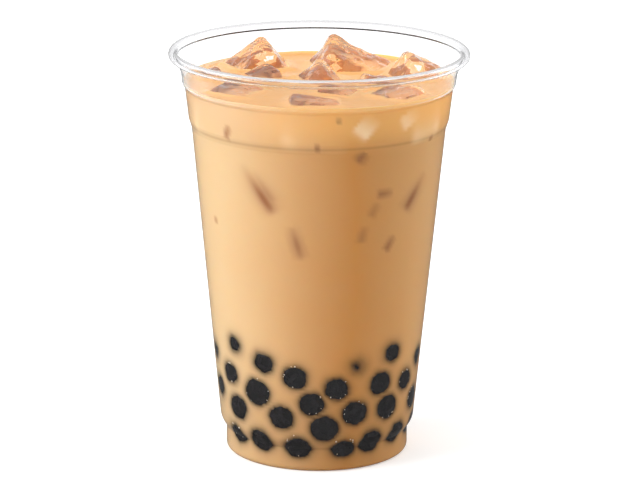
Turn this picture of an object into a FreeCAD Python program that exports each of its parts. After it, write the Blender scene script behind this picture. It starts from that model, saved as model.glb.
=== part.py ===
# A clear takeaway cup of iced milk tea.
#
# The cup is one thin vacuum-formed wall: a recessed base on a foot ring, a straight base band, a
# rounded heel, a tapering side, a stacking shoulder, a straight stacking band, a neck that takes a
# lid, and a curled rim. The tea fills it up to the stacking band and is cut round the ice blocks
# that stand out of its surface.
#
# The origin is on the axis, at the level of the foot ring. +Z is up and -Y is the front.
# All sizes are in millimetres and all angles in degrees.
import FreeCAD, Part
import math
import os

V = FreeCAD.Vector

# Cup: heights above the foot ring and outer radii
CUP_HEIGHT = 134.5
RIM_RADIUS = 49.0
BASE_RADIUS = 30.0
WALL = 0.45

# Cup: base and heel
BASE_RECESS = 1.5
FOOT_WIDTH = 4.0
BAND_HEIGHT = 7.8
HEEL_HEIGHT = 2.9
HEEL_FLARE = 1.9

# Cup: stacking shoulder, stacking band, neck and curl, measured down from the rim and in from it
SHOULDER_DROP = 25.5
SHOULDER_INSET = 7.55
BAND_DROP = 22.4
BAND_INSET = 6.55
NECK_DROP = 12.2
NECK_INSET = 5.35
LID_SEAT_DROP = 10.9
LID_SEAT_INSET = 4.55
FLARE_DROP = 7.4
FLARE_INSET = 4.1
CURL_RADIUS = 1.5
CURL_TURN = 300.0

# Cup: roundings of the outer face
PANEL_ROUNDING = 1.2
FOOT_ROUNDING = 1.0
TOE_ROUNDING = 1.6
CREASE_ROUNDING = 0.7
HEEL_ROUNDING = 5.5
STEP_ROUNDING = 1.3
FLARE_ROUNDING = 2.0

# Tea and ice
TEA_DROP = 11.0
WALL_GAP = 0.6
ICE_SIDE = 22.0
ICE_ROUNDING = 1.9
ICE_TAPER = 0.06

# Ice blocks that stand out of the tea: bearing in plan from +X, how far out towards the wall as a
# share of the way there, height of the top above the tea, three sides as multiples of ICE_SIDE,
# then the turns about Z, X and Y that the block froze at
ICE_BLOCKS = {
    "ice_back_right": (69, 0.99, 10.0, (1.12, 0.84, 0.94), (6, 14, 27)),
    "ice_back_left": (130, 1.0, 9.0, (0.82, 0.62, 0.70), (4, 14, -38)),
    "ice_middle": (80, 0.12, 5.8, (0.66, 0.58, 0.64), (16, 12, 40)),
    "ice_right": (15, 1.0, 8.0, (0.72, 0.62, 0.76), (16, 6, 26)),
    "ice_left": (158, 0.66, 3.6, (0.70, 0.58, 0.58), (24, 10, -20)),
    "ice_middle_right": (350, 0.55, 3.4, (0.52, 0.48, 0.56), (35, 8, 12)),
    "ice_far_left": (168, 1.0, 2.6, (0.36, 0.48, 0.44), (12, 8, -10)),
    "ice_front_left": (208, 0.99, 2.6, (0.72, 0.64, 0.62), (-30, 6, 8)),
    "ice_front": (267, 0.97, 2.2, (0.78, 0.62, 0.62), (4, -5, 6)),
    "ice_front_middle": (290, 0.50, 2.8, (0.58, 0.52, 0.56), (-24, -6, 10)),
    "ice_front_right": (324, 1.0, 2.8, (0.74, 0.60, 0.66), (-36, 6, -6)),
}

# Corner of the outline where the side of the cup starts, at the top of its base band
CREASE = 4
FULL_TURN = 360


def outer_corners():
    """Corners of the cup's outer face, from the middle of the base to the start of the curl."""
    foot_inner = BASE_RADIUS - FOOT_WIDTH
    return [
        (0.0, BASE_RECESS),
        (foot_inner - BASE_RECESS, BASE_RECESS),
        (foot_inner, 0.0),
        (BASE_RADIUS, 0.0),
        (BASE_RADIUS, BAND_HEIGHT),
        (BASE_RADIUS + HEEL_FLARE, BAND_HEIGHT + HEEL_HEIGHT),
        (RIM_RADIUS - SHOULDER_INSET, CUP_HEIGHT - SHOULDER_DROP),
        (RIM_RADIUS - BAND_INSET, CUP_HEIGHT - BAND_DROP),
        (RIM_RADIUS - NECK_INSET, CUP_HEIGHT - NECK_DROP),
        (RIM_RADIUS - LID_SEAT_INSET, CUP_HEIGHT - LID_SEAT_DROP),
        (RIM_RADIUS - FLARE_INSET, CUP_HEIGHT - FLARE_DROP),
        (RIM_RADIUS - 2 * CURL_RADIUS + WALL, CUP_HEIGHT - 2 * CURL_RADIUS),
        (RIM_RADIUS - 2 * CURL_RADIUS + WALL, CUP_HEIGHT - CURL_RADIUS),
    ]


OUTER_ROUNDINGS = [
    PANEL_ROUNDING,
    FOOT_ROUNDING,
    TOE_ROUNDING,
    CREASE_ROUNDING,
    HEEL_ROUNDING,
    STEP_ROUNDING,
    STEP_ROUNDING,
    STEP_ROUNDING,
    STEP_ROUNDING,
    FLARE_ROUNDING,
    FLARE_ROUNDING,
]


def steps(points):
    """Unit directions of the straight runs between points."""
    found = []
    for (r0, z0), (r1, z1) in zip(points, points[1:]):
        length = math.hypot(r1 - r0, z1 - z0)
        found.append(((r1 - r0) / length, (z1 - z0) / length))
    return found


def turn_sense(a, b):
    """Positive where the outline turns left from direction a to direction b."""
    return a[0] * b[1] - a[1] * b[0]


def moved_in(points, distance):
    """The same corners, with each run moved sideways to its left by a distance."""
    runs = steps(points)
    moved = []
    for i, (r, z) in enumerate(points):
        before = runs[max(i - 1, 0)]
        after = runs[min(i, len(runs) - 1)]
        share = distance / (1.0 + before[0] * after[0] + before[1] * after[1])
        moved.append((r - share * (before[1] + after[1]), z + share * (before[0] + after[0])))
    return moved


def moved_in_roundings(points, roundings, distance):
    """Corner radii that keep the moved outline parallel to the first one."""
    runs = steps(points)
    return [
        radius - math.copysign(distance, turn_sense(runs[i], runs[i + 1]))
        for i, radius in enumerate(roundings)
    ]


def rounded_outline(points, roundings):
    """Edges through points in the XZ plane, with an arc at each inner corner."""
    runs = steps(points)
    edges = []
    start = V(points[0][0], 0, points[0][1])
    for (r, z), radius, a, b in zip(points[1:-1], roundings, runs, runs[1:]):
        half_turn = math.atan2(abs(turn_sense(a, b)), a[0] * b[0] + a[1] * b[1]) / 2
        back = radius * math.tan(half_turn)
        bulge = radius * (1.0 / math.cos(half_turn) - 1.0)
        inward = ((b[0] - a[0]), (b[1] - a[1]))
        size = math.hypot(*inward)
        first = V(r - back * a[0], 0, z - back * a[1])
        middle = V(r + bulge * inward[0] / size, 0, z + bulge * inward[1] / size)
        last = V(r + back * b[0], 0, z + back * b[1])
        edges.append(Part.LineSegment(start, first).toShape())
        edges.append(Part.Arc(first, middle, last).toShape())
        start = last
    edges.append(Part.LineSegment(start, V(points[-1][0], 0, points[-1][1])).toShape())
    return edges


def curl_arc(radius):
    """Arc of the rolled rim, from its inner side over the top and round underneath."""
    centre_r = RIM_RADIUS - CURL_RADIUS
    centre_z = CUP_HEIGHT - CURL_RADIUS
    ends = [
        V(centre_r - radius * math.cos(math.radians(t)), 0, centre_z + radius * math.sin(math.radians(t)))
        for t in (0.0, CURL_TURN / 2, CURL_TURN)
    ]
    return Part.Arc(*ends).toShape()


def end_point(edges):
    """Free end of a chain of edges."""
    return edges[-1].valueAt(edges[-1].LastParameter)


def outer_outline():
    """Edges of the cup's outer face, as far as the curl."""
    return rounded_outline(outer_corners(), OUTER_ROUNDINGS)


def inner_outline():
    """Edges of the cup's inner face, as far as the curl, one wall inside the outer face."""
    corners = outer_corners()
    return rounded_outline(moved_in(corners, WALL), moved_in_roundings(corners, OUTER_ROUNDINGS, WALL))


def inner_radius(z):
    """Inside radius of the cup at a height above its heel."""
    corners = moved_in(outer_corners(), WALL)
    for (r0, z0), (r1, z1) in zip(corners[CREASE:], corners[CREASE + 1:]):
        if z <= z1:
            return r0 + (r1 - r0) * (z - z0) / (z1 - z0)
    return corners[-1][0]


def revolved(edges):
    """Solid of revolution about Z of a closed outline in the XZ plane."""
    face = Part.Face(Part.Wire(Part.__sortEdges__(edges)))
    return face.revolve(V(0, 0, 0), V(0, 0, 1), FULL_TURN)


def make_cup():
    """The whole cup: one wall of even thickness that ends in the curled rim."""
    outside = outer_outline()
    inside = inner_outline()
    outer_curl = curl_arc(CURL_RADIUS)
    inner_curl = curl_arc(CURL_RADIUS - WALL)
    cap = Part.LineSegment(end_point([outer_curl]), end_point([inner_curl])).toShape()
    axis = Part.LineSegment(V(0, 0, BASE_RECESS), V(0, 0, BASE_RECESS + WALL)).toShape()
    return revolved([axis] + outside + inside + [outer_curl, inner_curl, cap])


def make_tea(level, blocks):
    """The tea: all of the cup's inside up to its level, less the ice that stands in it."""
    rim = V(0, 0, CUP_HEIGHT)
    inside = inner_outline()
    lip = Part.LineSegment(end_point(inside), V(end_point(inside).x, 0, CUP_HEIGHT)).toShape()
    lid = Part.LineSegment(V(end_point(inside).x, 0, CUP_HEIGHT), rim).toShape()
    axis = Part.LineSegment(rim, V(0, 0, BASE_RECESS + WALL)).toShape()
    brimful = revolved(inside + [lip, lid, axis])
    below = Part.makeCylinder(2 * RIM_RADIUS, level)
    tea = brimful.common(below)
    for block in blocks:
        tea = tea.cut(block)
    return tea.removeSplitter()


def block_corners(sides):
    """Corners of a tapered ice block about its centre."""
    half = [side / 2 for side in sides]
    return [
        V(x * half[0] * (1 - z * ICE_TAPER), y * half[1] * (1 - z * ICE_TAPER), z * half[2])
        for z in (-1, 1)
        for x in (-1, 1)
        for y in (-1, 1)
    ]


def tapered_block(sides):
    """Ice block as it leaves its tray: a little narrower at one end, with melted edges."""
    wide = [side / 2 * (1 + ICE_TAPER) for side in sides]
    slim = [side / 2 * (1 - ICE_TAPER) for side in sides]
    wedge = Part.makeWedge(
        -wide[0], -sides[2] / 2, -wide[1], -slim[1], -slim[0],
        wide[0], sides[2] / 2, wide[1], slim[1], slim[0],
    )
    wedge.rotate(V(0, 0, 0), V(1, 0, 0), 90)
    return wedge.makeFillet(ICE_ROUNDING, wedge.Edges)


def free_reach(corners, bearing):
    """How far a block can go along a bearing before a corner is WALL_GAP from the wall."""
    along = V(math.cos(bearing), math.sin(bearing), 0)
    reaches = []
    for corner in corners:
        room = inner_radius(corner.z) - WALL_GAP
        across = corner.x * along.y - corner.y * along.x
        ahead = corner.x * along.x + corner.y * along.y
        reaches.append(math.sqrt(room**2 - across**2) - ahead)
    return min(reaches)


def make_ice(level, bearing, share, rise, multiples, turns):
    """One ice block, turned as it froze and floated to its place."""
    sides = [ICE_SIDE * multiple for multiple in multiples]
    yaw, pitch, roll = turns
    turn = FreeCAD.Rotation(yaw, roll, pitch)
    corners = [turn.multVec(corner) for corner in block_corners(sides)]
    block = tapered_block(sides)
    block.Placement = FreeCAD.Placement(V(0, 0, 0), turn).multiply(block.Placement)
    lift = level + rise - block.BoundBox.ZMax
    lifted = [corner + V(0, 0, lift) for corner in corners]
    angle = math.radians(bearing)
    distance = share * free_reach(lifted, angle)
    block.translate(V(distance * math.cos(angle), distance * math.sin(angle), lift))
    return block


def main():
    """Make every piece and write each one to its own file."""
    level = CUP_HEIGHT - TEA_DROP
    pieces = {name: make_ice(level, *values) for name, values in ICE_BLOCKS.items()}
    pieces["milk_tea"] = make_tea(level, list(pieces.values()))
    pieces["cup"] = make_cup()
    os.makedirs("parts", exist_ok=True)
    for name, shape in pieces.items():
        shape.exportStep(f"parts/{name}.step")
        print(name, shape.isValid(), len(shape.Solids), round(shape.Volume / 1000, 2), "cm3")


main()
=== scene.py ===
"""Bubble tea in a clear takeaway cup: its looks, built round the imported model.

The tea, the ice and the clear cup stand for their solids. The pearls and the sunk ice, which the
solids leave out, are made here at true size. Lengths are in millimetres until MM turns them to
metres.
"""
import logging
import math
import random
from dataclasses import dataclass
from enum import Enum

import bmesh
import bpy
from mathutils import Euler, Matrix, Vector, noise
from mathutils.bvhtree import BVHTree


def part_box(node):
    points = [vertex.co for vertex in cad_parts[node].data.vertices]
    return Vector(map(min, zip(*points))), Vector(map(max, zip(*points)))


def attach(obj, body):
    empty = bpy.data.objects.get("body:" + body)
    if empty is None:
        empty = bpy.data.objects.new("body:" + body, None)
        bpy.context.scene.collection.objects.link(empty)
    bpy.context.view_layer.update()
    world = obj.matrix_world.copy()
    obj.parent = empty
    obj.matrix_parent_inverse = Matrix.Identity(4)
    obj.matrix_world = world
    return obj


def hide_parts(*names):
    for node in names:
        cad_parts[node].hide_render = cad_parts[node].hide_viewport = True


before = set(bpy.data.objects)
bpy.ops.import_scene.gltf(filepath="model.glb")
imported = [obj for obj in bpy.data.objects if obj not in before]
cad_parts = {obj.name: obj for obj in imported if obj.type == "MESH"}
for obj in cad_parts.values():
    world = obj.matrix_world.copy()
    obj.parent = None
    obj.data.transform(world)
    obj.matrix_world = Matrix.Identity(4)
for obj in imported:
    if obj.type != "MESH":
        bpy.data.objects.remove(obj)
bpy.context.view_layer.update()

logging.basicConfig(level=logging.INFO, format="%(message)s")
LOG = logging.getLogger("bubble_tea")

MM = 0.001
FULL_TURN = math.tau
FULL_TURN_DEG = 360.0

# sockets of a Mix node that blends two colours
MIX_FACTOR, MIX_FIRST, MIX_SECOND, MIX_RESULT = 0, 6, 7, 2


class Film(Enum):
    """What a point of the tea's skin shows, by the attribute that holds how strongly."""

    PEARL = "pearl_near"
    ICE_DARK = "ice_edge_near"
    # paler where a sunk ice face lies flat to the wall, a painted reflection of that face; also the pale veil
    # round the blocks at the surface
    ICE_PALE = "ice_face_near"
    OPEN = "free_surface"
    # painted light: the tea under the ice gets a brighter tone of its own
    CAVITY = "ice_cavity"


# ---------------------------------------------------------------- small helpers


def linear(hex_colour: str) -> tuple[float, float, float, float]:
    """Turn an sRGB hex colour into linear red, green, blue and alpha.

    Args:
        hex_colour: Six hex digits, with or without a leading hash sign.

    Returns:
        Linear colour with an alpha of 1.
    """
    digits = hex_colour.lstrip("#")
    parts = [int(digits[i : i + 2], 16) / 255 for i in (0, 2, 4)]
    toned = [p / 12.92 if p <= 0.04045 else ((p + 0.055) / 1.055) ** 2.4 for p in parts]
    return (*toned, 1.0)


def add_node(
    tree: bpy.types.NodeTree,
    kind: str,
    settings: dict | None = None,
    values: dict | None = None,
    links: dict | None = None,
) -> bpy.types.Node:
    """Add one shader node with its settings, socket values and incoming links.

    Args:
        tree: Node tree that takes the node.
        kind: Blender's name for the node type.
        settings: Attributes of the node itself.
        values: Values for its input sockets, by name or index.
        links: Output sockets to link, by the input's name or index.

    Returns:
        The new node.
    """
    node = tree.nodes.new(kind)
    for name, value in (settings or {}).items():
        setattr(node, name, value)
    for name, value in (values or {}).items():
        node.inputs[name].default_value = value
    for name, source in (links or {}).items():
        tree.links.new(source, node.inputs[name])
    return node


def new_material(name: str) -> tuple[bpy.types.Material, bpy.types.NodeTree, bpy.types.Node]:
    """Make an empty node material.

    Args:
        name: Name of the real material.

    Returns:
        The material, its node tree and its output node.
    """
    material = bpy.data.materials.new(name)
    material.use_nodes = True
    material.node_tree.nodes.clear()
    output = add_node(material.node_tree, "ShaderNodeOutputMaterial")
    return material, material.node_tree, output


def reflected_only(tree: bpy.types.NodeTree) -> bpy.types.NodeSocket:
    """Tell mirrored rays from those that came through something clear.

    Args:
        tree: Node tree that takes the nodes.

    Returns:
        Socket that is 1 for a mirrored ray and 0 for any other.
    """
    rays = add_node(tree, "ShaderNodeLightPath")
    only = add_node(
        tree, "ShaderNodeMath", settings={"operation": "SUBTRACT", "use_clamp": True},
        links={0: rays.outputs["Is Glossy Ray"], 1: rays.outputs["Is Transmission Ray"]},
    )
    return only.outputs["Value"]


def set_ramp(node: bpy.types.Node, stops: list[tuple[float, tuple]]) -> None:
    """Give a colour ramp its stops.

    Args:
        node: Colour ramp node.
        stops: Places from 0 to 1, each with its colour.
    """
    elements = node.color_ramp.elements
    while len(elements) > 1:
        elements.remove(elements[-1])
    elements[0].position, elements[0].color = stops[0]
    for place, colour in stops[1:]:
        elements.new(place).color = colour


def to_piece(bm: bmesh.types.BMesh, name: str) -> bpy.types.Object:
    """Turn a bmesh in millimetres into an object in metres at the origin.

    Args:
        bm: Finished mesh in millimetres, which is freed.
        name: Name of the piece.

    Returns:
        The new object.
    """
    bmesh.ops.scale(bm, vec=(MM, MM, MM), verts=bm.verts)
    mesh = bpy.data.meshes.new(name)
    for face in bm.faces:
        face.smooth = True
    bm.to_mesh(mesh)
    bm.free()
    piece = bpy.data.objects.new(name, mesh)
    bpy.context.scene.collection.objects.link(piece)
    return piece


def finish_piece(
    piece: bpy.types.Object,
    material: bpy.types.Material,
    replaces: tuple[str, ...] = (),
) -> bpy.types.Object:
    """Dress a piece, fix it to the body and hide the solids that it stands for.

    Args:
        piece: Finished object.
        material: Its finish.
        replaces: Solids that it stands for.

    Returns:
        The same object.
    """
    piece.data.materials.clear()
    piece.data.materials.append(material)
    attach(piece, "root")
    if replaces:
        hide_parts(*replaces)
    LOG.info("%s: %d faces", piece.name, len(piece.data.polygons))
    return piece


def turn_between(a: Vector, b: Vector) -> float:
    """Signed angle from direction a to direction b in the outline's plane, positive to the left."""
    return math.atan2(a.x * b.y - a.y * b.x, a.dot(b))


def moved_in(points: list[Vector], distance: float) -> list[Vector]:
    """Move every run of an outline sideways to its left.

    Args:
        points: Corners as radius and height.
        distance: How far to move the runs.

    Returns:
        The corners of the moved outline.
    """
    runs = [(b - a).normalized() for a, b in zip(points, points[1:])]
    moved = []
    for i, point in enumerate(points):
        before = runs[max(i - 1, 0)]
        after = runs[min(i, len(runs) - 1)]
        share = distance / (1.0 + before.dot(after))
        both = before + after
        moved.append(point + share * Vector((-both.y, both.x)))
    return moved


def outline_mesh(points: list[Vector], roundings: list[float], segments: int) -> bmesh.types.BMesh:
    """Draw straight runs in the XZ plane and round their inner corners.

    Args:
        points: Corners as radius and height, from one end to the other.
        roundings: Radius of each inner corner.
        segments: Edges in each rounding.

    Returns:
        A wire of edges in millimetres.
    """
    bm = bmesh.new()
    verts = [bm.verts.new((p.x, 0.0, p.y)) for p in points]
    for a, b in zip(verts, verts[1:]):
        bm.edges.new((a, b))
    runs = [(b - a).normalized() for a, b in zip(points, points[1:])]
    for vert, radius, a, b in zip(verts[1:-1], roundings, runs, runs[1:]):
        reach = radius * math.tan(abs(turn_between(a, b)) / 2)
        bmesh.ops.bevel(
            bm, geom=[vert], offset=reach, offset_type="OFFSET", segments=segments,
            profile=0.5, affect="VERTICES", material=-1,
        )
    return bm


def divide_runs(bm: bmesh.types.BMesh, longest: float, below: float = math.inf) -> None:
    """Cut a wire's edges until none is longer than a limit.

    Args:
        bm: Wire of edges.
        longest: Longest edge that may stay.
        below: Only edges whose middle is under this height are cut.
    """
    for edge in list(bm.edges):
        middle = (edge.verts[0].co.z + edge.verts[1].co.z) / 2
        cuts = math.ceil(edge.calc_length() / longest) - 1
        if middle < below and cuts > 0:
            bmesh.ops.subdivide_edges(bm, edges=[edge], cuts=cuts)


def spin_round(bm: bmesh.types.BMesh, steps: int) -> None:
    """Turn a wire a full turn about Z, and close its seam and its poles.

    Args:
        bm: Wire of edges in the XZ plane.
        steps: Steps in the full turn.
    """
    bmesh.ops.spin(
        bm, geom=bm.verts[:] + bm.edges[:], cent=(0, 0, 0), axis=(0, 0, 1), dvec=(0, 0, 0),
        angle=FULL_TURN, steps=steps, use_merge=True,
    )
    bmesh.ops.remove_doubles(bm, verts=bm.verts, dist=0.001)
    bmesh.ops.dissolve_degenerate(bm, dist=0.0001, edges=bm.edges)
    bmesh.ops.recalc_face_normals(bm, faces=bm.faces)


def face_out(bm: bmesh.types.BMesh) -> None:
    """Turn a closed mesh's faces round if they point inwards."""
    if bm.calc_volume(signed=True) < 0:
        bmesh.ops.reverse_faces(bm, faces=bm.faces)


# ---------------------------------------------------------------- finishes


@dataclass(frozen=True)
class ClearPet:
    """Thermoformed PET sheet: glass clear and glossy, with the faint haze that drawing leaves."""

    index: float = 1.4
    roughness: float = 0.02
    tint: str = "fbfcfc"
    rim_tint: str = "fafafb"
    rim_from_mm: float = 130.6
    rim_to_mm: float = 131.8
    ripple_mm: float = 9.0
    ripple_depth_mm: float = 0.012

    def make(self) -> bpy.types.Material:
        """Build the material.

        Returns:
            The material.
        """
        material, tree, output = new_material("thermoformed_pet")
        place = add_node(tree, "ShaderNodeTexCoord")
        # slow ripples of the drawn sheet, which bend the reflections a little
        ripple = add_node(
            tree, "ShaderNodeTexNoise", values={"Scale": 1 / (self.ripple_mm * MM), "Detail": 1.0},
            links={"Vector": place.outputs["Object"]},
        )
        bump = add_node(
            tree, "ShaderNodeBump",
            values={"Distance": self.ripple_depth_mm * MM, "Strength": 1.0},
            links={"Height": ripple.outputs["Fac"]},
        )
        # the curled rim is thicker and hazier than the drawn wall below it
        axes = add_node(tree, "ShaderNodeSeparateXYZ", links={"Vector": place.outputs["Object"]})
        rim = add_node(
            tree, "ShaderNodeMapRange",
            values={"From Min": self.rim_from_mm * MM, "From Max": self.rim_to_mm * MM},
            links={"Value": axes.outputs["Z"]},
        )
        tint = add_node(
            tree, "ShaderNodeMix", settings={"data_type": "RGBA"},
            values={MIX_FIRST: linear(self.tint), MIX_SECOND: linear(self.rim_tint)},
            links={MIX_FACTOR: rim.outputs["Result"]},
        )
        glass = add_node(
            tree, "ShaderNodeBsdfPrincipled",
            values={"IOR": self.index, "Roughness": self.roughness, "Transmission Weight": 1.0},
            links={"Base Color": tint.outputs[MIX_RESULT], "Normal": bump.outputs["Normal"]},
        )
        tree.links.new(glass.outputs["BSDF"], output.inputs["Surface"])
        return material


@dataclass(frozen=True)
class MilkTea:
    """Black tea with milk: opaque, soft and creamy, with painted shade across it: paler on the left where the
    key light falls, browner on the shaded front right, a little lighter at the rim-lit right edge.

    The dark halo round a pearl and the brown mark of a sunk ice edge come from how thin the tea is
    between it and the wall, which the piece holds as attributes.
    """

    # painted shade: the tea's tones across it, from the lit left side through the shaded front right to the
    # rim-lit right edge
    lit_side_tone: str = "d0b38a"
    shaded_side_tone: str = "d19550"
    between: str = "d0a570"
    # painted light: the lighter top band, in its shaded and lit side tones
    glow_shaded_side: str = "edb76e"
    glow_lit_side: str = "d2b18a"
    open_tea: str = "dca05a"
    # painted light: the tea in the cavities under the ice is brighter, to make up for light that the ice dims
    cavity_tea: str = "dfa568"
    pearl_shade: str = "0d0a09"
    ice_shade: str = "966442"
    # painted reflection: the pale tone where a sunk ice face lies flat to the wall, also used for the veil
    # round the blocks at the surface
    ice_pale: str = "fbe0b8"
    swirl_mm: float = 38.0
    swirl_share: float = 0.16
    half_width_mm: float = 38.0
    glow_from_mm: float = 107.0
    glow_to_mm: float = 120.0
    # painted shade: darker towards the bottom, among the pearls
    shaded_from_mm: float = 44.0
    shaded_to_mm: float = 6.0
    shaded: str = "7b5229"
    shaded_share: float = 0.2
    # painted shade: a thin darker line in the tea behind each fold of the wall, where the fold bends the
    # light
    folds_mm: tuple[float, ...] = (110.7, 7.9)
    fold_width_mm: float = 0.8
    fold_shade_share: float = 0.26

    def shade(
        self, tree: bpy.types.NodeTree, height: bpy.types.NodeSocket, shown: bpy.types.NodeSocket
    ) -> bpy.types.NodeSocket:
        """Paint shade low in the tea among the pearls, and a thin shade line along each fold of the cup's
        wall.

        Args:
            tree: Nodes of the material.
            height: Height above the floor.
            shown: Colour before this shade.

        Returns:
            The shaded colour.
        """
        # painted shade, darker towards the bottom among the pearls
        low = add_node(
            tree, "ShaderNodeMapRange", settings={"interpolation_type": "SMOOTHSTEP"},
            values={
                "From Min": self.shaded_from_mm * MM, "From Max": self.shaded_to_mm * MM,
                "To Min": 0.0, "To Max": self.shaded_share,
            },
            links={"Value": height},
        )
        shares = [low.outputs["Result"]]
        # painted shade along each fold of the wall
        for fold in self.folds_mm:
            away = add_node(
                tree, "ShaderNodeMath", settings={"operation": "SUBTRACT"}, values={1: fold * MM},
                links={0: height},
            )
            size = add_node(
                tree, "ShaderNodeMath", settings={"operation": "ABSOLUTE"}, links={0: away.outputs["Value"]}
            )
            line = add_node(
                tree, "ShaderNodeMapRange",
                values={"From Max": self.fold_width_mm * MM, "To Min": self.fold_shade_share, "To Max": 0.0},
                links={"Value": size.outputs["Value"]},
            )
            shares.append(line.outputs["Result"])
        for share in shares:
            mix = add_node(
                tree, "ShaderNodeMix", settings={"data_type": "RGBA"},
                values={MIX_SECOND: linear(self.shaded)}, links={MIX_FACTOR: share, MIX_FIRST: shown},
            )
            shown = mix.outputs[MIX_RESULT]
        return shown

    def make(self) -> bpy.types.Material:
        """Build the material.

        Returns:
            The material.
        """
        material, tree, output = new_material("milk_tea")
        place = add_node(tree, "ShaderNodeTexCoord")
        swirl = add_node(
            tree, "ShaderNodeTexNoise",
            values={"Scale": 1 / (self.swirl_mm * MM), "Detail": 2.0, "Distortion": 0.6},
            links={"Vector": place.outputs["Object"]},
        )
        side = add_node(tree, "ShaderNodeSeparateXYZ", links={"Vector": place.outputs["Object"]})
        # painted shade and light: the colour runs across X from pale where the key light falls to brown in
        # shade, lighter again at the rim-lit edge; the swirl adds uneven milk
        reach = add_node(
            tree, "ShaderNodeMapRange",
            values={"From Min": -self.half_width_mm * MM, "From Max": self.half_width_mm * MM},
            links={"Value": side.outputs["X"]},
        )
        waved = add_node(
            tree, "ShaderNodeMath", settings={"operation": "MULTIPLY_ADD"},
            values={1: self.swirl_share, 2: -self.swirl_share / 2},
            links={0: swirl.outputs["Fac"]},
        )
        blend = add_node(
            tree, "ShaderNodeMath", settings={"operation": "ADD", "use_clamp": True},
            links={0: reach.outputs["Result"], 1: waved.outputs["Value"]},
        )
        deep = add_node(tree, "ShaderNodeValToRGB", links={"Fac": blend.outputs["Value"]})
        set_ramp(deep, [(0.1, linear(self.lit_side_tone)), (0.65, linear(self.shaded_side_tone)), (0.97, linear(self.between))])
        bright = add_node(tree, "ShaderNodeValToRGB", links={"Fac": blend.outputs["Value"]})
        set_ramp(bright, [(0.12, linear(self.glow_lit_side)), (0.55, linear(self.glow_shaded_side))])
        # painted light: the top band of the tea is made lighter, standing in for light that enters through
        # its surface
        height = add_node(
            tree, "ShaderNodeMapRange", settings={"interpolation_type": "SMOOTHSTEP"},
            values={"From Min": self.glow_from_mm * MM, "From Max": self.glow_to_mm * MM},
            links={"Value": side.outputs["Z"]},
        )
        body = add_node(
            tree, "ShaderNodeMix", settings={"data_type": "RGBA"},
            links={
                MIX_FACTOR: height.outputs["Result"],
                MIX_FIRST: deep.outputs["Color"],
                MIX_SECOND: bright.outputs["Color"],
            },
        )
        shown = self.shade(tree, side.outputs["Z"], body.outputs[MIX_RESULT])
        for attribute, tone in (
            (Film.OPEN, self.open_tea),
            (Film.ICE_PALE, self.ice_pale),
            (Film.CAVITY, self.cavity_tea),
            (Film.ICE_DARK, self.ice_shade),
            (Film.PEARL, self.pearl_shade),
        ):
            near = add_node(tree, "ShaderNodeAttribute", settings={"attribute_name": attribute.value})
            mix = add_node(
                tree, "ShaderNodeMix", settings={"data_type": "RGBA", "clamp_factor": True},
                values={MIX_SECOND: linear(tone)},
                links={MIX_FACTOR: near.outputs["Fac"], MIX_FIRST: shown},
            )
            shown = mix.outputs[MIX_RESULT]
        tea = add_node(
            tree, "ShaderNodeBsdfPrincipled",
            values={
                "IOR": 1.34, "Roughness": 0.2, "Specular IOR Level": 0.3, "Subsurface Weight": 0.3,
                "Subsurface Radius": (1.0, 0.45, 0.2), "Subsurface Scale": 3.0 * MM,
            },
            links={"Base Color": shown},
        )
        tree.links.new(tea.outputs["BSDF"], output.inputs["Surface"])
        return material


@dataclass(frozen=True)
class BoiledTapioca:
    """Tapioca pearls boiled in dark sugar: nearly black, wet and glossy, with a grey bloom."""

    dark: str = "060405"
    bloom: str = "1b181b"
    mottle_mm: float = 2.2
    relief_mm: float = 0.05

    def make(self) -> bpy.types.Material:
        """Build the material.

        Returns:
            The material.
        """
        material, tree, output = new_material("boiled_tapioca")
        place = add_node(tree, "ShaderNodeTexCoord")
        mottle = add_node(
            tree, "ShaderNodeTexNoise", values={"Scale": 1 / (self.mottle_mm * MM), "Detail": 3.0},
            links={"Vector": place.outputs["Object"]},
        )
        colour = add_node(tree, "ShaderNodeValToRGB", links={"Fac": mottle.outputs["Fac"]})
        set_ramp(colour, [(0.42, linear(self.dark)), (0.68, linear(self.bloom))])
        bump = add_node(
            tree, "ShaderNodeBump", values={"Distance": self.relief_mm * MM, "Strength": 1.0},
            links={"Height": mottle.outputs["Fac"]},
        )
        skin = add_node(
            tree, "ShaderNodeBsdfPrincipled",
            values={"IOR": 1.42, "Roughness": 0.25, "Specular IOR Level": 0.25},
            links={"Base Color": colour.outputs["Color"], "Normal": bump.outputs["Normal"]},
        )
        tree.links.new(skin.outputs["BSDF"], output.inputs["Surface"])
        return material


@dataclass(frozen=True)
class FrothAndGlint:
    """Air beads in a skin of milk: pale and wet, a little uneven in tone; their pale tone is partly a painted
    glint of the light they catch.
    """

    pale: str = "f3e9da"
    warm: str = "dcc3a0"
    grain_mm: float = 0.6

    def make(self) -> bpy.types.Material:
        """Build the material.

        Returns:
            The material.
        """
        material, tree, output = new_material("froth_and_glint")
        place = add_node(tree, "ShaderNodeTexCoord")
        grain = add_node(
            tree, "ShaderNodeTexNoise", values={"Scale": 1 / (self.grain_mm * MM), "Detail": 1.0},
            links={"Vector": place.outputs["Object"]},
        )
        colour = add_node(tree, "ShaderNodeValToRGB", links={"Fac": grain.outputs["Fac"]})
        set_ramp(colour, [(0.35, linear(self.warm)), (0.6, linear(self.pale))])
        froth = add_node(
            tree, "ShaderNodeBsdfPrincipled", values={"IOR": 1.34, "Roughness": 0.3},
            links={"Base Color": colour.outputs["Color"]},
        )
        tree.links.new(froth.outputs["BSDF"], output.inputs["Surface"])
        return material


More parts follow.
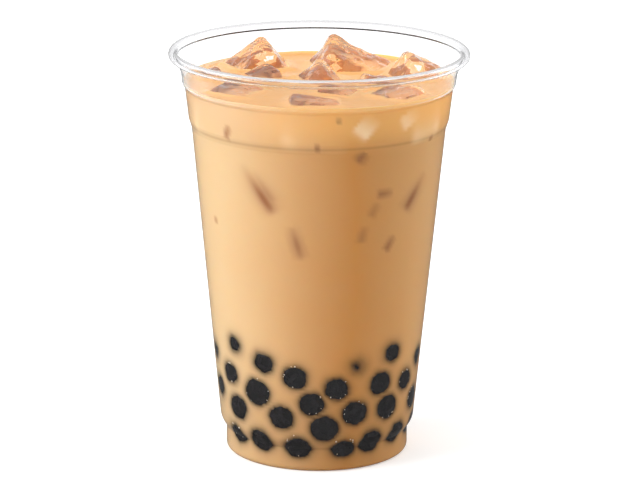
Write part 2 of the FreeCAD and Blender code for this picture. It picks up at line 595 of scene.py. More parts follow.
@dataclass(frozen=True)
class MeltingIce:
    """Clear ice that has begun to melt: wet, glossy, with soft dents and a faint warm tint."""

    tint: str = "fffaf2"
    dent_mm: float = 3.5
    facet_mm: float = 4.2
    facet_share: float = 1.3
    relief_mm: float = 0.85
    clearness: float = 0.94

    def make(self) -> bpy.types.Material:
        """Build the material.

        Returns:
            The material.
        """
        material, tree, output = new_material("melting_ice")
        place = add_node(tree, "ShaderNodeTexCoord")
        dents = add_node(
            tree, "ShaderNodeTexNoise", values={"Scale": 1 / (self.dent_mm * MM), "Detail": 2.0},
            links={"Vector": place.outputs["Object"]},
        )
        # shallow melt facets, each with a thin crease round it
        facets = add_node(
            tree, "ShaderNodeTexVoronoi", values={"Scale": 1 / (self.facet_mm * MM)},
            links={"Vector": place.outputs["Object"]},
        )
        relief = add_node(
            tree, "ShaderNodeMath", settings={"operation": "MULTIPLY_ADD"}, values={1: self.facet_share},
            links={0: facets.outputs["Distance"], 2: dents.outputs["Fac"]},
        )
        bump = add_node(
            tree, "ShaderNodeBump", values={"Distance": self.relief_mm * MM, "Strength": 1.0},
            links={"Height": relief.outputs["Value"]},
        )
        ice = add_node(
            tree, "ShaderNodeBsdfPrincipled",
            values={
                "Base Color": linear(self.tint), "IOR": 1.31, "Roughness": 0.03,
                "Transmission Weight": self.clearness,
            },
            links={"Normal": bump.outputs["Normal"]},
        )
        tree.links.new(ice.outputs["BSDF"], output.inputs["Surface"])
        return material


# ---------------------------------------------------------------- cup


@dataclass(frozen=True)
class CupSizes:
    """Sizes of the cup in millimetres: heights from the foot ring, drops and insets from the rim."""

    height: float
    rim_radius: float
    base_radius: float = 30.0
    wall: float = 0.45
    base_recess: float = 1.5
    foot_width: float = 4.0
    band_height: float = 7.8
    heel_height: float = 2.9
    heel_flare: float = 1.9
    shoulder_drop: float = 25.5
    shoulder_inset: float = 7.55
    band_drop: float = 22.4
    band_inset: float = 6.55
    neck_drop: float = 12.2
    neck_inset: float = 5.35
    lid_seat_drop: float = 10.9
    lid_seat_inset: float = 4.55
    flare_drop: float = 7.4
    flare_inset: float = 4.1
    curl_radius: float = 1.5
    curl_turn: float = math.radians(300.0)
    roundings: tuple[float, ...] = (1.2, 1.0, 1.6, 0.7, 5.5, 1.3, 1.3, 1.3, 1.3, 2.0, 2.0)

    def corners(self) -> list[Vector]:
        """Work out the outline of the outer face.

        Returns:
            Corners as radius and height, from the base's middle to the curl.
        """
        foot_inner = self.base_radius - self.foot_width
        throat = self.rim_radius - 2 * self.curl_radius + self.wall
        places = (
            (0.0, self.base_recess),
            (foot_inner - self.base_recess, self.base_recess),
            (foot_inner, 0.0),
            (self.base_radius, 0.0),
            (self.base_radius, self.band_height),
            (self.base_radius + self.heel_flare, self.band_height + self.heel_height),
            (self.rim_radius - self.shoulder_inset, self.height - self.shoulder_drop),
            (self.rim_radius - self.band_inset, self.height - self.band_drop),
            (self.rim_radius - self.neck_inset, self.height - self.neck_drop),
            (self.rim_radius - self.lid_seat_inset, self.height - self.lid_seat_drop),
            (self.rim_radius - self.flare_inset, self.height - self.flare_drop),
            (throat, self.height - 2 * self.curl_radius),
            (throat, self.height - self.curl_radius),
        )
        return [Vector(place) for place in places]

    def corners_in(self, distance: float) -> list[Vector]:
        """Corners of a face that lies a distance inside the outer one."""
        return moved_in(self.corners(), distance)

    def roundings_in(self, distance: float) -> list[float]:
        """Work out the roundings that keep an inner face parallel to the outer one.

        Args:
            distance: How far inside the outer face it lies.

        Returns:
            Radius of each of its inner corners.
        """
        points = self.corners()
        runs = [b - a for a, b in zip(points, points[1:])]
        return [
            radius - math.copysign(distance, turn_between(a, b))
            for radius, a, b in zip(self.roundings, runs, runs[1:])
        ]

    def radius_at(self, z: float, distance: float) -> float:
        """Find how far from the axis a face of the side lies.

        Args:
            z: Height above the floor.
            distance: How far inside the outer face it lies.

        Returns:
            Its radius at that height.
        """
        points = [p for p in self.corners_in(distance) if p.x > self.base_radius - self.foot_width]
        for a, b in zip(points, points[1:]):
            if a.y <= z <= b.y and b.y > a.y:
                return a.x + (b.x - a.x) * (z - a.y) / (b.y - a.y)
        return points[-1].x


@dataclass
class ClearCup:
    """The thin clear cup: one drawn wall from its recessed base to the curled rim."""

    sizes: CupSizes
    steps: int = 192
    rounding_segments: int = 5
    curl_segments: int = 20
    longest_run: float = 2.5

    def draw_wall(self) -> bmesh.types.BMesh:
        """Draw the outer face and the curl.

        Returns:
            A wire in millimetres.
        """
        sizes = self.sizes
        bm = outline_mesh(sizes.corners(), list(sizes.roundings), self.rounding_segments)
        divide_runs(bm, self.longest_run)
        top = max(bm.verts, key=lambda vert: vert.co.z)
        curl_centre = (sizes.rim_radius - sizes.curl_radius, 0.0, sizes.height - sizes.curl_radius)
        bmesh.ops.spin(
            bm, geom=[top], cent=curl_centre, axis=(0, 1, 0), dvec=(0, 0, 0),
            angle=sizes.curl_turn, steps=self.curl_segments,
        )
        bmesh.ops.remove_doubles(bm, verts=bm.verts, dist=0.001)
        return bm

    def build(self, material: bpy.types.Material) -> bpy.types.Object:
        """Make the cup and put it in place of its solid.

        Args:
            material: Clear plastic.

        Returns:
            The finished cup.
        """
        bm = self.draw_wall()
        spin_round(bm, self.steps)
        outward = max(bm.faces, key=lambda face: face.calc_area())
        if outward.normal.dot(Vector((*outward.calc_center_median().xy, 0.0))) < 0:
            bmesh.ops.reverse_faces(bm, faces=bm.faces)
        bmesh.ops.solidify(bm, geom=bm.faces[:], thickness=self.sizes.wall)
        face_out(bm)
        cup = to_piece(bm, "clear_cup")
        return finish_piece(cup, material, ("cup",))


# ---------------------------------------------------------------- ice


def shell_tree(objects: list[bpy.types.Object]) -> BVHTree:
    """Make one search tree over the faces of several pieces.

    Args:
        objects: The pieces.

    Returns:
        The tree, in millimetres.
    """
    verts: list[Vector] = []
    faces: list[list[int]] = []
    for piece in objects:
        start = len(verts)
        verts.extend(vert.co / MM for vert in piece.data.vertices)
        faces.extend([start + index for index in face.vertices] for face in piece.data.polygons)
    return BVHTree.FromPolygons(verts, faces)


def roughen(bm: bmesh.types.BMesh, dents: list[tuple[float, float]], seed: Vector, swell: float) -> None:
    """Push a mesh's surface in and out by smooth noise.

    Args:
        bm: Mesh in millimetres.
        dents: Pairs of how wide and how deep the dents are.
        seed: Place in the noise that makes this piece differ from its neighbours.
        swell: How far the whole surface moves out.
    """
    bm.normal_update()
    moves = []
    for vert in bm.verts:
        depth = swell + sum(deep * noise.noise(vert.co / wide + seed) for wide, deep in dents)
        moves.append(vert.normal * depth)
    for vert, move in zip(bm.verts, moves):
        vert.co += move


@dataclass
class FloatingIce:
    """Ice blocks that stand out of the tea: each the shape of its solid, melted and dented."""

    names: list[str]
    level: float
    grain: float = 0.55
    rounds: int = 3
    dents: tuple[tuple[float, float], ...] = ((8.0, 0.8), (3.2, 0.3))
    swell: float = 0.15
    sunk_swell: float = 0.8
    seed_step: float = 17.3

    def melt(self, name: str, number: int) -> bpy.types.Object:
        """Make one melted block from the shape of its solid.

        Args:
            name: Node of the solid.
            number: Place of the block in the list, which picks its dents.

        Returns:
            The block, not yet dressed.
        """
        bm = bmesh.new()
        bm.from_mesh(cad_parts[name].data)
        bmesh.ops.remove_doubles(bm, verts=bm.verts, dist=0.001 * MM)
        bmesh.ops.scale(bm, vec=(1 / MM,) * 3, verts=bm.verts)
        rough = to_piece(bm, f"rough_{name}")
        remesh = rough.modifiers.new("grain", "REMESH")
        remesh.mode = "VOXEL"
        remesh.voxel_size = self.grain * MM
        bpy.context.view_layer.update()
        shaped = bpy.data.meshes.new_from_object(rough.evaluated_get(bpy.context.evaluated_depsgraph_get()))
        bpy.data.objects.remove(rough)
        bm = bmesh.new()
        bm.from_mesh(shaped)
        bpy.data.meshes.remove(shaped)
        bmesh.ops.scale(bm, vec=(1 / MM,) * 3, verts=bm.verts)
        for _ in range(self.rounds):
            bmesh.ops.smooth_vert(
                bm, verts=bm.verts, factor=0.5, use_axis_x=True, use_axis_y=True, use_axis_z=True
            )
        roughen(bm, list(self.dents), Vector((number * self.seed_step, 0.0, 0.0)), self.swell)
        self.meet_tea(bm)
        face_out(bm)
        return to_piece(bm, f"{name}_block")

    def meet_tea(self, bm: bmesh.types.BMesh) -> None:
        """Swell the sunk part of a block, so that no air is left between it and the tea.

        Args:
            bm: Block in millimetres.
        """
        bm.normal_update()
        for vert in bm.verts:
            sunk = min(max(self.level - vert.co.z, 0.0), 1.0)
            vert.co += vert.normal * (self.sunk_swell * sunk)

    def build(self, material: bpy.types.Material) -> list[bpy.types.Object]:
        """Make every block and put it in place of its solid.

        Args:
            material: Ice.

        Returns:
            The finished blocks.
        """
        blocks = []
        for number, name in enumerate(self.names):
            blocks.append(finish_piece(self.melt(name, number), material, (name,)))
        return blocks


@dataclass(frozen=True)
class SunkBlock:
    """One sunk ice block that comes near the wall, by where and how it lies."""

    bearing: float
    height: float
    length: float
    width: float
    slant: float
    film: float
    kind: Film = Film.ICE_DARK
    nod: float = 0.0


@dataclass
class SunkIce:
    """Ice blocks under the surface, seen as marks where an edge or a face comes near the wall; a face's pale
    mark is a painted reflection.
    """

    sizes: CupSizes
    blocks: tuple[SunkBlock, ...] = (
        SunkBlock(-29.2, 96.6, 19.5, 8.5, -34.0, 0.06, nod=1.5),
        SunkBlock(-26.4, 97.2, 14.0, 8.5, -34.0, 0.55),
        SunkBlock(-10.4, 79.6, 11.5, 4.6, -15.0, 0.20, nod=6.0),
        SunkBlock(-43.2, 114.2, 4.6, 2.6, 22.0, 0.10),
        SunkBlock(-0.6, 111.6, 2.0, 1.8, 0.0, 0.15),
        SunkBlock(-58.4, 82.5, 2.6, 1.8, -15.0, 0.45),
        SunkBlock(19.2, 107.9, 4.4, 4.4, 40.0, 0.0),
        SunkBlock(32.2, 95.0, 5.4, 2.6, 88.0, 0.12, nod=-6.0),
        SunkBlock(51.3, 93.6, 14.5, 6.5, 36.0, 0.05),
        SunkBlock(26.8, 89.8, 5.0, 3.0, 25.0, 0.75),
        SunkBlock(21.6, 82.0, 6.0, 3.0, 12.0, 0.65),
        SunkBlock(36.8, 77.7, 5.6, 2.8, 30.0, 0.12),
        SunkBlock(59.6, 110.6, 2.4, 2.0, 60.0, 0.25),
        SunkBlock(8.4, 120.4, 2.2, 1.8, 80.0, 0.45),
        SunkBlock(20.4, 117.9, 8.4, 6.4, 40.0, 0.15, kind=Film.ICE_PALE, nod=-10.0),
        SunkBlock(42.5, 119.2, 8.6, 5.4, 62.0, 0.6, kind=Film.ICE_PALE, nod=-9.0),
        SunkBlock(152.0, 96.0, 15.0, 7.0, 32.0, 0.10, nod=3.0),
        SunkBlock(183.0, 84.0, 9.0, 4.0, -12.0, 0.25, nod=-4.0),
        SunkBlock(208.0, 104.0, 4.2, 3.0, 50.0, 0.15),
        SunkBlock(229.0, 91.0, 11.0, 4.6, -34.0, 0.12, nod=3.0),
        SunkBlock(131.0, 108.0, 3.0, 2.6, 10.0, 0.15),
    )
    rounding_share: float = 0.22
    bow: float = 0.1
    bow_cuts: int = 8
    long_share: float = 0.4

    def block_mesh(self, block: SunkBlock) -> bmesh.types.BMesh:
        """Make one block where it lies, with an edge or a face turned to the wall.

        Args:
            block: Where and how the block lies.

        Returns:
            Its mesh in millimetres.
        """
        bm = bmesh.new()
        bmesh.ops.create_cube(bm, size=1.0)
        bmesh.ops.scale(bm, vec=(block.width, block.width, block.length), verts=bm.verts)
        bmesh.ops.bevel(
            bm, geom=bm.edges[:], offset=block.width * self.rounding_share, offset_type="OFFSET",
            segments=3, profile=0.5, affect="EDGES", material=-1,
        )
        long_edges = [edge for edge in bm.edges if edge.calc_length() > self.long_share * block.length]
        bmesh.ops.subdivide_edges(bm, edges=long_edges, cuts=self.bow_cuts, use_grid_fill=True)
        bmesh.ops.triangulate(bm, faces=[face for face in bm.faces if len(face.verts) > 4])
        turned = math.radians(45.0) if block.kind is Film.ICE_DARK else 0.0
        spin = Matrix.Rotation(turned, 4, "Z")
        # the upper end tips back from the wall, so that a mark fades upwards
        nod = Matrix.Rotation(math.radians(block.nod) - self.wall_lean(block.height), 4, "X")
        slant = Matrix.Rotation(math.radians(block.slant), 4, "Y")
        bmesh.ops.transform(bm, matrix=spin, verts=bm.verts)
        for vert in bm.verts:
            vert.co.y += self.bow * block.length * (2 * vert.co.z / block.length) ** 2
        bmesh.ops.transform(bm, matrix=slant @ nod, verts=bm.verts)
        front = min(vert.co.y for vert in bm.verts)
        reach = self.sizes.radius_at(block.height, self.sizes.wall) - block.film
        place = Matrix.Rotation(math.radians(block.bearing), 4, "Z") @ Matrix.Translation(
            (0.0, -reach - front, block.height)
        )
        bmesh.ops.transform(bm, matrix=place, verts=bm.verts)
        return bm

    def wall_lean(self, height: float) -> float:
        """Find how far the wall leans out from upright.

        Args:
            height: Height above the floor.

        Returns:
            The lean in radians.
        """
        step = 1.0
        low = self.sizes.radius_at(height - step, 0.0)
        high = self.sizes.radius_at(height + step, 0.0)
        return math.atan2(high - low, 2 * step)

    def build(self, material: bpy.types.Material, kind: Film) -> bpy.types.Object:
        """Make one piece of all the blocks that show the same way.

        Args:
            material: Ice.
            kind: Whether their edges or their faces are near the wall.

        Returns:
            The finished piece.
        """
        joined = bmesh.new()
        for block in self.blocks:
            if block.kind is kind:
                part = bpy.data.meshes.new("sunk_block")
                bm = self.block_mesh(block)
                bm.to_mesh(part)
                bm.free()
                joined.from_mesh(part)
                bpy.data.meshes.remove(part)
        bmesh.ops.recalc_face_normals(joined, faces=joined.faces)
        name = "sunk_ice_edges" if kind is Film.ICE_DARK else "sunk_ice_faces"
        return finish_piece(to_piece(joined, name), material)


# ---------------------------------------------------------------- pearls


@dataclass(frozen=True)
class Pearl:
    """One pearl by the wall: where it lies, how wide its flat patch is and how far it stands off."""

    bearing: float
    height: float
    patch: float
    stand_off: float = 0.0


@dataclass
class Pearls:
    """Tapioca pearls pressed flat against the wall, in ragged rows up the lower part of the cup."""

    sizes: CupSizes
    front: tuple[Pearl, ...] = (
        Pearl(-57.0, 10.0, 2.6),
        Pearl(-36.0, 10.0, 3.4),
        Pearl(-11.5, 9.2, 3.8),
        Pearl(16.5, 8.7, 3.4),
        Pearl(34.4, 10.2, 3.4),
        Pearl(56.0, 10.9, 2.8),
        Pearl(79.0, 10.8, 2.8),
        Pearl(4.5, 15.6, 4.2),
        Pearl(-52.1, 19.3, 3.8),
        Pearl(-20.8, 18.9, 3.8),
        Pearl(22.0, 20.7, 3.8),
        Pearl(44.3, 20.7, 3.9),
        Pearl(72.1, 20.1, 3.4),
        Pearl(-73.0, 23.7, 3.0, 0.15),
        Pearl(-35.9, 26.4, 4.4),
        Pearl(-3.0, 24.2, 3.7),
        Pearl(-57.0, 30.4, 3.1),
        Pearl(11.0, 29.4, 3.5),
        Pearl(38.0, 29.6, 3.6),
        Pearl(58.9, 28.4, 3.0),
        Pearl(-12.4, 33.2, 3.6),
        Pearl(74.0, 34.3, 2.6, 0.2),
        Pearl(-76.0, 35.6, 2.4, 0.3),
        Pearl(-30.6, 37.2, 3.1, 0.1),
        Pearl(22.3, 36.9, 2.2, 0.75),
        Pearl(-50.8, 41.2, 2.3, 0.25),
        Pearl(44.8, 39.6, 2.8, 0.1),
    )
    radius: float = 4.75
    radius_spread: float = 0.2
    widest_patch: float = 0.88
    wander: float = 3.0
    height_wander: float = 0.9
    side_gap: float = 12.0
    bite: float = 0.3
    lumps: tuple[tuple[float, float], ...] = ((2.4, 0.36), (1.0, 0.2))
    seed: int = 11

    def everywhere(self, rng: random.Random) -> list[Pearl]:
        """List the pearls of the front, and the same ones again round the back with small moves.

        Args:
            rng: Source of the moves.

        Returns:
            All the pearls.
        """
        behind = [
            Pearl(
                pearl.bearing + FULL_TURN_DEG / 2 + rng.uniform(-1, 1) * self.wander,
                pearl.height + rng.uniform(-1, 1) * self.height_wander,
                pearl.patch,
                pearl.stand_off,
            )
            for pearl in self.front
            if abs(pearl.bearing) < FULL_TURN_DEG / 4 - self.side_gap
        ]
        return [*self.front, *behind]

    def build(self, material: bpy.types.Material) -> bpy.types.Object:
        """Make all the pearls as one piece.

        Args:
            material: Boiled tapioca.

        Returns:
            The finished pearls.
        """
        rng = random.Random(self.seed)
        bm = bmesh.new()
        for pearl in self.everywhere(rng):
            self.add_pearl(bm, pearl, rng)
        bmesh.ops.recalc_face_normals(bm, faces=bm.faces)
        return finish_piece(to_piece(bm, "tapioca_pearls"), material)

    def add_pearl(self, bm: bmesh.types.BMesh, pearl: Pearl, rng: random.Random) -> None:
        """Add one lumpy pearl, squashed where it meets the wall.

        Args:
            bm: Mesh that takes the pearl.
            pearl: Where it lies and how it is pressed.
            rng: Source of its unevenness.
        """
        radius = max(self.radius + rng.uniform(-1, 1) * self.radius_spread, pearl.patch / self.widest_patch)
        face = self.sizes.wall - self.bite
        reach = self.sizes.radius_at(pearl.height, face) - pearl.stand_off
        reach -= math.sqrt(radius**2 - pearl.patch**2)
        made = bmesh.ops.create_icosphere(bm, subdivisions=4, radius=radius)["verts"]
        turn = math.radians(pearl.bearing)
        centre = Vector((reach * math.sin(turn), -reach * math.cos(turn), pearl.height))
        tumble = Euler([rng.uniform(0, FULL_TURN) for _ in range(3)]).to_matrix().to_4x4()
        bmesh.ops.transform(bm, matrix=Matrix.Translation(centre) @ tumble, verts=made)
        seed = Vector((rng.uniform(0, 99), 0.0, 0.0))
        lowest = self.sizes.base_recess + self.sizes.wall
        for vert in made:
            out = (vert.co - centre).normalized()
            for wide, deep in self.lumps:
                vert.co += out * deep * noise.noise(vert.co / wide + seed)
            vert.co.z = max(vert.co.z, lowest)
            limit = self.sizes.radius_at(vert.co.z, face)
            away = math.hypot(vert.co.x, vert.co.y)
            if away > limit:
                vert.co.xy *= limit / away


@dataclass
class AirBeads:
    """Small beads of air caught round some pearls, where they press on the wall; their pale finish is partly
    a painted glint.
    """

    sizes: CupSizes
    pearls: tuple[Pearl, ...]
    share: float = 0.6
    per_pearl: int = 5
    radius: tuple[float, float] = (0.14, 0.3)
    bite: float = 0.36
    seed: int = 29

    def build(self, material: bpy.types.Material) -> bpy.types.Object:
        """Make all the beads as one piece.

        Args:
            material: Froth, pale partly as a painted glint.

        Returns:
            The finished beads.
        """
        rng = random.Random(self.seed)
        bm = bmesh.new()
        for pearl in self.pearls:
            if rng.random() > self.share or pearl.stand_off > 0:
                continue
            for _ in range(self.per_pearl):
                self.add_bead(bm, pearl, rng)
        return finish_piece(to_piece(bm, "air_beads"), material)

    def add_bead(self, bm: bmesh.types.BMesh, pearl: Pearl, rng: random.Random) -> None:
        """Add one bead at the edge of the patch where a pearl lies on the wall.

        Args:
            bm: Mesh that takes the bead.
            pearl: The pearl.
            rng: Source of the bead's size and place.
        """
        radius = rng.uniform(*self.radius)
        way = rng.uniform(0.0, FULL_TURN)
        out = pearl.patch * rng.uniform(0.93, 1.06)
        height = pearl.height + out * math.sin(way)
        reach = self.sizes.radius_at(height, self.sizes.wall - self.bite) - radius
        turn = math.radians(pearl.bearing) + out * math.cos(way) / reach
        place = Matrix.Translation((reach * math.sin(turn), -reach * math.cos(turn), height))
        bmesh.ops.create_icosphere(bm, subdivisions=2, radius=radius, matrix=place)


# ---------------------------------------------------------------- tea


@dataclass
class TeaBody:
    """The tea: it fills the cup just into the wall, and holds a cavity round each ice block."""

    sizes: CupSizes
    level: float
    bite: float = 0.2
    steps: int = 320
    fine_below: float = 47.0
    fine_row: float = 0.65
    row: float = 1.1
    top_row: float = 0.8
    climb: float = 1.0
    climb_width: float = 1.3
    ice_climb: float = 0.7
    ice_climb_width: float = 0.9
    ripple: float = 0.12
    ripple_width: float = 7.0
    ice_gap: float = 0.12
    cavity_depth: float = 3.6
    pearl_film: float = 0.85
    ice_film: float = 1.15
    veil: float = 0.2
    veil_width: float = 1.3
    rim_band: float = 0.9
    surface_band: float = 0.5
    faded_films: float = 5.0
    cast_from: float = 1.0

    def draw_side(self) -> bmesh.types.BMesh:
        """Draw the tea's outline from the middle of the base to the middle of its surface.

        Returns:
            A wire in millimetres.
        """
        inset = self.sizes.wall - self.bite
        corners = self.sizes.corners_in(inset)
        roundings = self.sizes.roundings_in(inset)
        under = [p for p in corners if p.y < self.level]
        edge = Vector((self.sizes.radius_at(self.level, inset), self.level))
        points = under + [edge, Vector((0.0, self.level))]
        bm = outline_mesh(points, roundings[: len(under) - 1] + [0.0], 5)
        divide_runs(bm, self.fine_row, below=self.fine_below)
        for rim_edge in list(bm.edges):
            flat = all(abs(vert.co.z - self.level) < 0.001 for vert in rim_edge.verts)
            longest = self.top_row if flat else self.row
            cuts = math.ceil(rim_edge.calc_length() / longest) - 1
            if cuts > 0:
                bmesh.ops.subdivide_edges(bm, edges=[rim_edge], cuts=cuts)
        return bm

    def shape_surface(self, bm: bmesh.types.BMesh, ice: BVHTree) -> None:
        """Let the tea climb a little at the wall and round each ice block.

        Args:
            bm: The whole tea body.
            ice: Search tree over the ice blocks.
        """
        wall = self.sizes.radius_at(self.level, self.sizes.wall)
        for vert in bm.verts:
            if vert.co.z < self.level - 0.001:
                continue
            gap = max(wall - math.hypot(vert.co.x, vert.co.y), 0.0)
            rise = self.climb * math.exp(-gap / self.climb_width)
            near = ice.find_nearest(vert.co)[3]
            rise = max(rise, self.ice_climb * math.exp(-near / self.ice_climb_width))
            vert.co.z += rise + self.ripple * noise.noise(vert.co / self.ripple_width)

    def cut_cavities(self, tea: bpy.types.Object, blocks: list[bpy.types.Object]) -> None:
        """Cut a shallow cavity for each ice block, a little smaller than the block.

        The milk hides how far down a block goes, so its lower part stays sunk in the tea.

        Args:
            tea: Tea body.
            blocks: Ice blocks.
        """
        bm = bmesh.new()
        for block in blocks:
            bm.from_mesh(block.data)
        bm.normal_update()
        for vert in bm.verts:
            vert.co -= vert.normal * self.ice_gap * MM
        floor = Vector((0.0, 0.0, (self.level - self.cavity_depth) * MM))
        cut = bmesh.ops.bisect_plane(
            bm, geom=[*bm.verts, *bm.edges, *bm.faces], plane_co=floor, plane_no=(0, 0, 1), clear_inner=True
        )
        rims = [item for item in cut["geom_cut"] if isinstance(item, bmesh.types.BMEdge)]
        bmesh.ops.holes_fill(bm, edges=rims, sides=0)
        bmesh.ops.recalc_face_normals(bm, faces=bm.faces)
        cutter_mesh = bpy.data.meshes.new("cavities")
        bm.to_mesh(cutter_mesh)
        bm.free()
        cutter = bpy.data.objects.new("cavities", cutter_mesh)
        bpy.context.scene.collection.objects.link(cutter)
        cut = tea.modifiers.new("cavities", "BOOLEAN")
        cut.operation = "DIFFERENCE"
        cut.solver = "EXACT"
        cut.object = cutter
        bpy.context.view_layer.update()
        shaped = bpy.data.meshes.new_from_object(tea.evaluated_get(bpy.context.evaluated_depsgraph_get()))
        tea.modifiers.clear()
        tea.data = shaped
        bpy.data.objects.remove(cutter)
        shaped.set_sharp_from_angle(angle=math.radians(38.0))

    def mark_film(
        self, tea: bpy.types.Object, sunk: list[bpy.types.Object], kind: Film, depth: float
    ) -> None:
        """Write how strongly sunk pieces show through the tea at each point of its skin.

        Args:
            tea: Tea body.
            sunk: Pieces under the tea.
            kind: Attribute that takes the strengths.
            depth: Film of tea that lets through a third of what is behind it.
        """
        tree = shell_tree(sunk)
        strengths = []
        for vert in tea.data.vertices:
            place = vert.co / MM
            inward = -(vert.normal)
            strength = 0.0
            at_surface = place.z > self.level - self.surface_band
            if kind is Film.ICE_PALE and at_surface:
                gap = tree.find_nearest(place)[3]
                strength = self.veil * math.exp(-gap / self.veil_width)
            elif kind is Film.PEARL:
                gap = tree.find_nearest(place, self.faded_films * depth)[3]
                strength = 0.0 if gap is None else math.exp(-gap / depth)
            elif not at_surface:
                reach = self.cast_from + self.faded_films * depth
                hit = tree.ray_cast(place - inward * self.cast_from, inward, reach)
                if hit[0] is not None:
                    strength = math.exp(-max(hit[3] - self.cast_from, 0.0) / depth)
            strengths.append(strength)
        self.write_film(tea, kind, strengths)

    def mark_open(self, tea: bpy.types.Object) -> None:
        """Write which of the tea's skin lies away from the wall: its surface and its cavities.

        Args:
            tea: Tea body.
        """
        surface, cavities = [], []
        for vert in tea.data.vertices:
            place = vert.co / MM
            gap = self.sizes.radius_at(place.z, self.sizes.wall) - math.hypot(place.x, place.y)
            inside = min(max((gap - self.rim_band) / self.rim_band, 0.0), 1.0)
            inside *= place.z > self.level / 2
            sunk = min(max((self.level - place.z) / self.rim_band, 0.0), 1.0)
            surface.append(inside)
            cavities.append(inside * sunk)
        self.write_film(tea, Film.OPEN, surface)
        self.write_film(tea, Film.CAVITY, cavities)

    def write_film(self, tea: bpy.types.Object, kind: Film, strengths: list[float]) -> None:
        """Write one strength for each point of the tea's skin."""
        attribute = tea.data.attributes.new(kind.value, "FLOAT", "POINT")
        attribute.data.foreach_set("value", strengths)

    def build(
        self,
        material: bpy.types.Material,
        blocks: list[bpy.types.Object],
        sunk: dict[Film, bpy.types.Object],
    ) -> bpy.types.Object:
        """Make the tea and put it in place of its solid.

        Args:
            material: Milk tea.
            blocks: Ice blocks that stand in it.
            sunk: Pieces under it, by how they show through it.

        Returns:
            The finished tea.
        """
        bm = self.draw_side()
        spin_round(bm, self.steps)
        face_out(bm)
        self.shape_surface(bm, shell_tree(blocks))
        tea = to_piece(bm, "tea_body")
        self.cut_cavities(tea, blocks)
        for kind, piece in sunk.items():
            near = [piece, *blocks] if kind is Film.ICE_PALE else [piece]
            self.mark_film(tea, near, kind, self.pearl_film if kind is Film.PEARL else self.ice_film)
        self.mark_open(tea)
        return finish_piece(tea, material, ("milk_tea",))


# ---------------------------------------------------------------- studio


@dataclass(frozen=True)
class SoftLight:
    """One soft light: degrees round from the cup's front and above the floor, metres and watts."""

    name: str
    bearing: float
    rise: float
    distance: float
    size: float
    watts: float


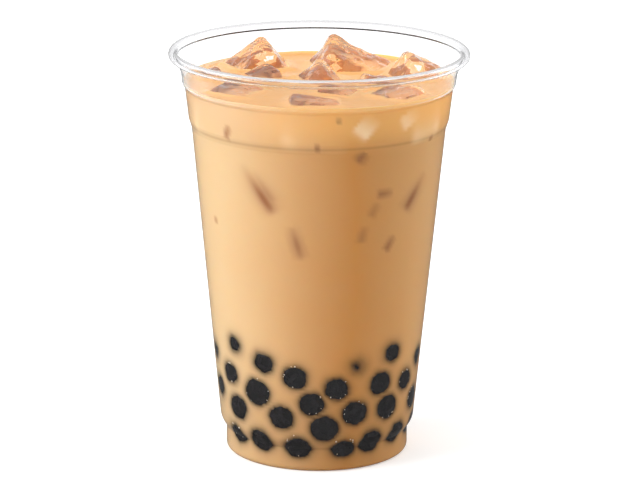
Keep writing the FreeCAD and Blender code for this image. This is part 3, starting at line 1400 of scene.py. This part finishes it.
@dataclass
class Studio:
    """White sweep, soft light from the left and the camera."""

    sizes: CupSizes
    distance: float = 1200.0
    elevation: float = 0.26
    lens: float = 205.2
    aim_height: float = 70.3
    roll: float = math.radians(0.38)
    shift: float = 0.003
    floor_size: float = 3.0
    fill: float = 0.84
    clear_low: float = 1.0
    clear_high: float = 0.65
    gloss_floor: float = 0.15
    gloss_low: float = 0.38
    gloss_high: float = 0.85
    card_glow: float = 0.2
    card: str = "f7f7f7"
    card_bounce: str = "cdcdcd"
    lights: tuple[SoftLight, ...] = (
        SoftLight("key", bearing=-75.0, rise=32.0, distance=1.4, size=1.1, watts=16.4),
        SoftLight("rim", bearing=115.0, rise=25.0, distance=1.4, size=0.9, watts=8.0),
    )

    def build_camera(self) -> None:
        """Make the camera, looking down on the front of the cup."""
        data = bpy.data.cameras.new("camera")
        data.lens = self.lens
        data.shift_x = self.shift
        data.clip_end = 20.0
        camera = bpy.data.objects.new("camera", data)
        bpy.context.scene.collection.objects.link(camera)
        aim = Vector((0.0, 0.0, self.aim_height)) * MM
        back = Vector((0.0, -math.cos(self.elevation), math.sin(self.elevation)))
        camera.location = aim + back * self.distance * MM
        turn = (-back).to_track_quat("-Z", "Y").to_matrix() @ Matrix.Rotation(self.roll, 3, "Z")
        camera.rotation_euler = turn.to_euler()
        bpy.context.scene.camera = camera

    def build_floor(self) -> None:
        """Make the white sweep that the cup stands on."""
        bm = bmesh.new()
        bmesh.ops.create_grid(bm, x_segments=1, y_segments=1, size=self.floor_size / 2 / MM)
        floor = to_piece(bm, "floor")
        material, tree, output = new_material("white_card")
        card = add_node(
            tree, "ShaderNodeBsdfPrincipled",
            values={
                "Base Color": linear(self.card), "Roughness": 0.9, "Specular IOR Level": 0.0,
                "Emission Color": (1, 1, 1, 1), "Emission Strength": self.card_glow,
            },
        )
        bounce = add_node(
            tree, "ShaderNodeBsdfPrincipled",
            values={"Base Color": linear(self.card_bounce), "Roughness": 0.9, "Specular IOR Level": 0.0},
        )
        rays = add_node(tree, "ShaderNodeLightPath")
        mix = add_node(
            tree, "ShaderNodeMixShader",
            links={0: rays.outputs["Is Diffuse Ray"], 1: card.outputs[0], 2: bounce.outputs[0]},
        )
        dull = add_node(
            tree, "ShaderNodeEmission", values={"Color": (1, 1, 1, 1), "Strength": self.gloss_floor}
        )
        shown = add_node(
            tree, "ShaderNodeMixShader",
            links={0: reflected_only(tree), 1: mix.outputs[0], 2: dull.outputs[0]},
        )
        tree.links.new(shown.outputs[0], output.inputs["Surface"])
        floor.data.materials.append(material)

    def add_light(self, soft: SoftLight) -> None:
        """Add one soft light that faces the cup.

        Args:
            soft: Its name, place, size and power.
        """
        data = bpy.data.lights.new(soft.name, "AREA")
        data.size = soft.size
        data.energy = soft.watts
        light = bpy.data.objects.new(soft.name, data)
        turn, tilt = math.radians(soft.bearing), math.radians(soft.rise)
        away = Vector((math.sin(turn) * math.cos(tilt), -math.cos(turn) * math.cos(tilt), math.sin(tilt)))
        light.location = Vector((0.0, 0.0, self.aim_height * MM)) + away * soft.distance
        light.rotation_euler = away.to_track_quat("Z", "Y").to_euler()
        bpy.context.scene.collection.objects.link(light)

    def build_light(self) -> None:
        """Make the white surroundings and the soft lights."""
        world = bpy.data.worlds.new("studio")
        world.use_nodes = True
        tree = world.node_tree
        tree.nodes.clear()
        rays = add_node(tree, "ShaderNodeLightPath")
        seen = add_node(tree, "ShaderNodeBackground", values={"Color": (1, 1, 1, 1), "Strength": 1.0})
        fill = add_node(tree, "ShaderNodeBackground", values={"Color": (1, 1, 1, 1), "Strength": self.fill})
        place = add_node(tree, "ShaderNodeTexCoord")
        aim = add_node(tree, "ShaderNodeSeparateXYZ", links={"Vector": place.outputs["Generated"]})
        rise = add_node(
            tree, "ShaderNodeMapRange",
            values={"From Min": 0.1, "From Max": 0.9, "To Min": self.gloss_low, "To Max": self.gloss_high},
            links={"Value": aim.outputs["Z"]},
        )
        gloss = add_node(
            tree, "ShaderNodeBackground", values={"Color": (1, 1, 1, 1)},
            links={"Strength": rise.outputs["Result"]},
        )
        through = add_node(
            tree, "ShaderNodeMapRange",
            values={"From Min": 0.0, "From Max": 0.9, "To Min": self.clear_low, "To Max": self.clear_high},
            links={"Value": aim.outputs["Z"]},
        )
        clear = add_node(
            tree, "ShaderNodeBackground", values={"Color": (1, 1, 1, 1)},
            links={"Strength": through.outputs["Result"]},
        )
        straight = add_node(
            tree, "ShaderNodeMixShader",
            links={0: rays.outputs["Is Transmission Ray"], 1: seen.outputs[0], 2: clear.outputs[0]},
        )
        # light on its way to a dull surface stays fill light, whatever clear thing it crosses
        lighting = add_node(
            tree, "ShaderNodeMath", settings={"operation": "MINIMUM"}, values={1: 1.0},
            links={0: rays.outputs["Diffuse Depth"]},
        )
        first = add_node(
            tree, "ShaderNodeMixShader",
            links={0: lighting.outputs["Value"], 1: straight.outputs[0], 2: fill.outputs[0]},
        )
        second = add_node(
            tree, "ShaderNodeMixShader",
            links={0: reflected_only(tree), 1: first.outputs[0], 2: gloss.outputs[0]},
        )
        add_node(tree, "ShaderNodeOutputWorld", links={"Surface": second.outputs[0]})
        bpy.context.scene.world = world
        for soft in self.lights:
            self.add_light(soft)

    def build(self) -> None:
        """Make the camera, the floor and the light."""
        self.build_camera()
        self.build_floor()
        self.build_light()
        bpy.context.scene.view_settings.view_transform = "Standard"


def main() -> None:
    """Build every piece in order."""
    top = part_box("cup")[1]
    sizes = CupSizes(height=top[2] / MM, rim_radius=top[0] / MM)
    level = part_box("milk_tea")[1][2] / MM
    Studio(sizes).build()
    pet = ClearPet().make()
    ice = MeltingIce().make()
    names = sorted(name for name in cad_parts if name.startswith("ice_"))
    blocks = FloatingIce(names, level).build(ice)
    sunk_ice = SunkIce(sizes)
    pearls = Pearls(sizes)
    sunk = {
        Film.ICE_PALE: sunk_ice.build(ice, Film.ICE_PALE),
        Film.ICE_DARK: sunk_ice.build(ice, Film.ICE_DARK),
        Film.PEARL: pearls.build(BoiledTapioca().make()),
    }
    AirBeads(sizes, pearls.front).build(FrothAndGlint().make())
    TeaBody(sizes, level).build(MilkTea().make(), blocks, sunk)
    cup = ClearCup(sizes).build(pet)
    for piece in [cup, *blocks]:
        piece.visible_shadow = False


if __name__ == "__main__":
    main()
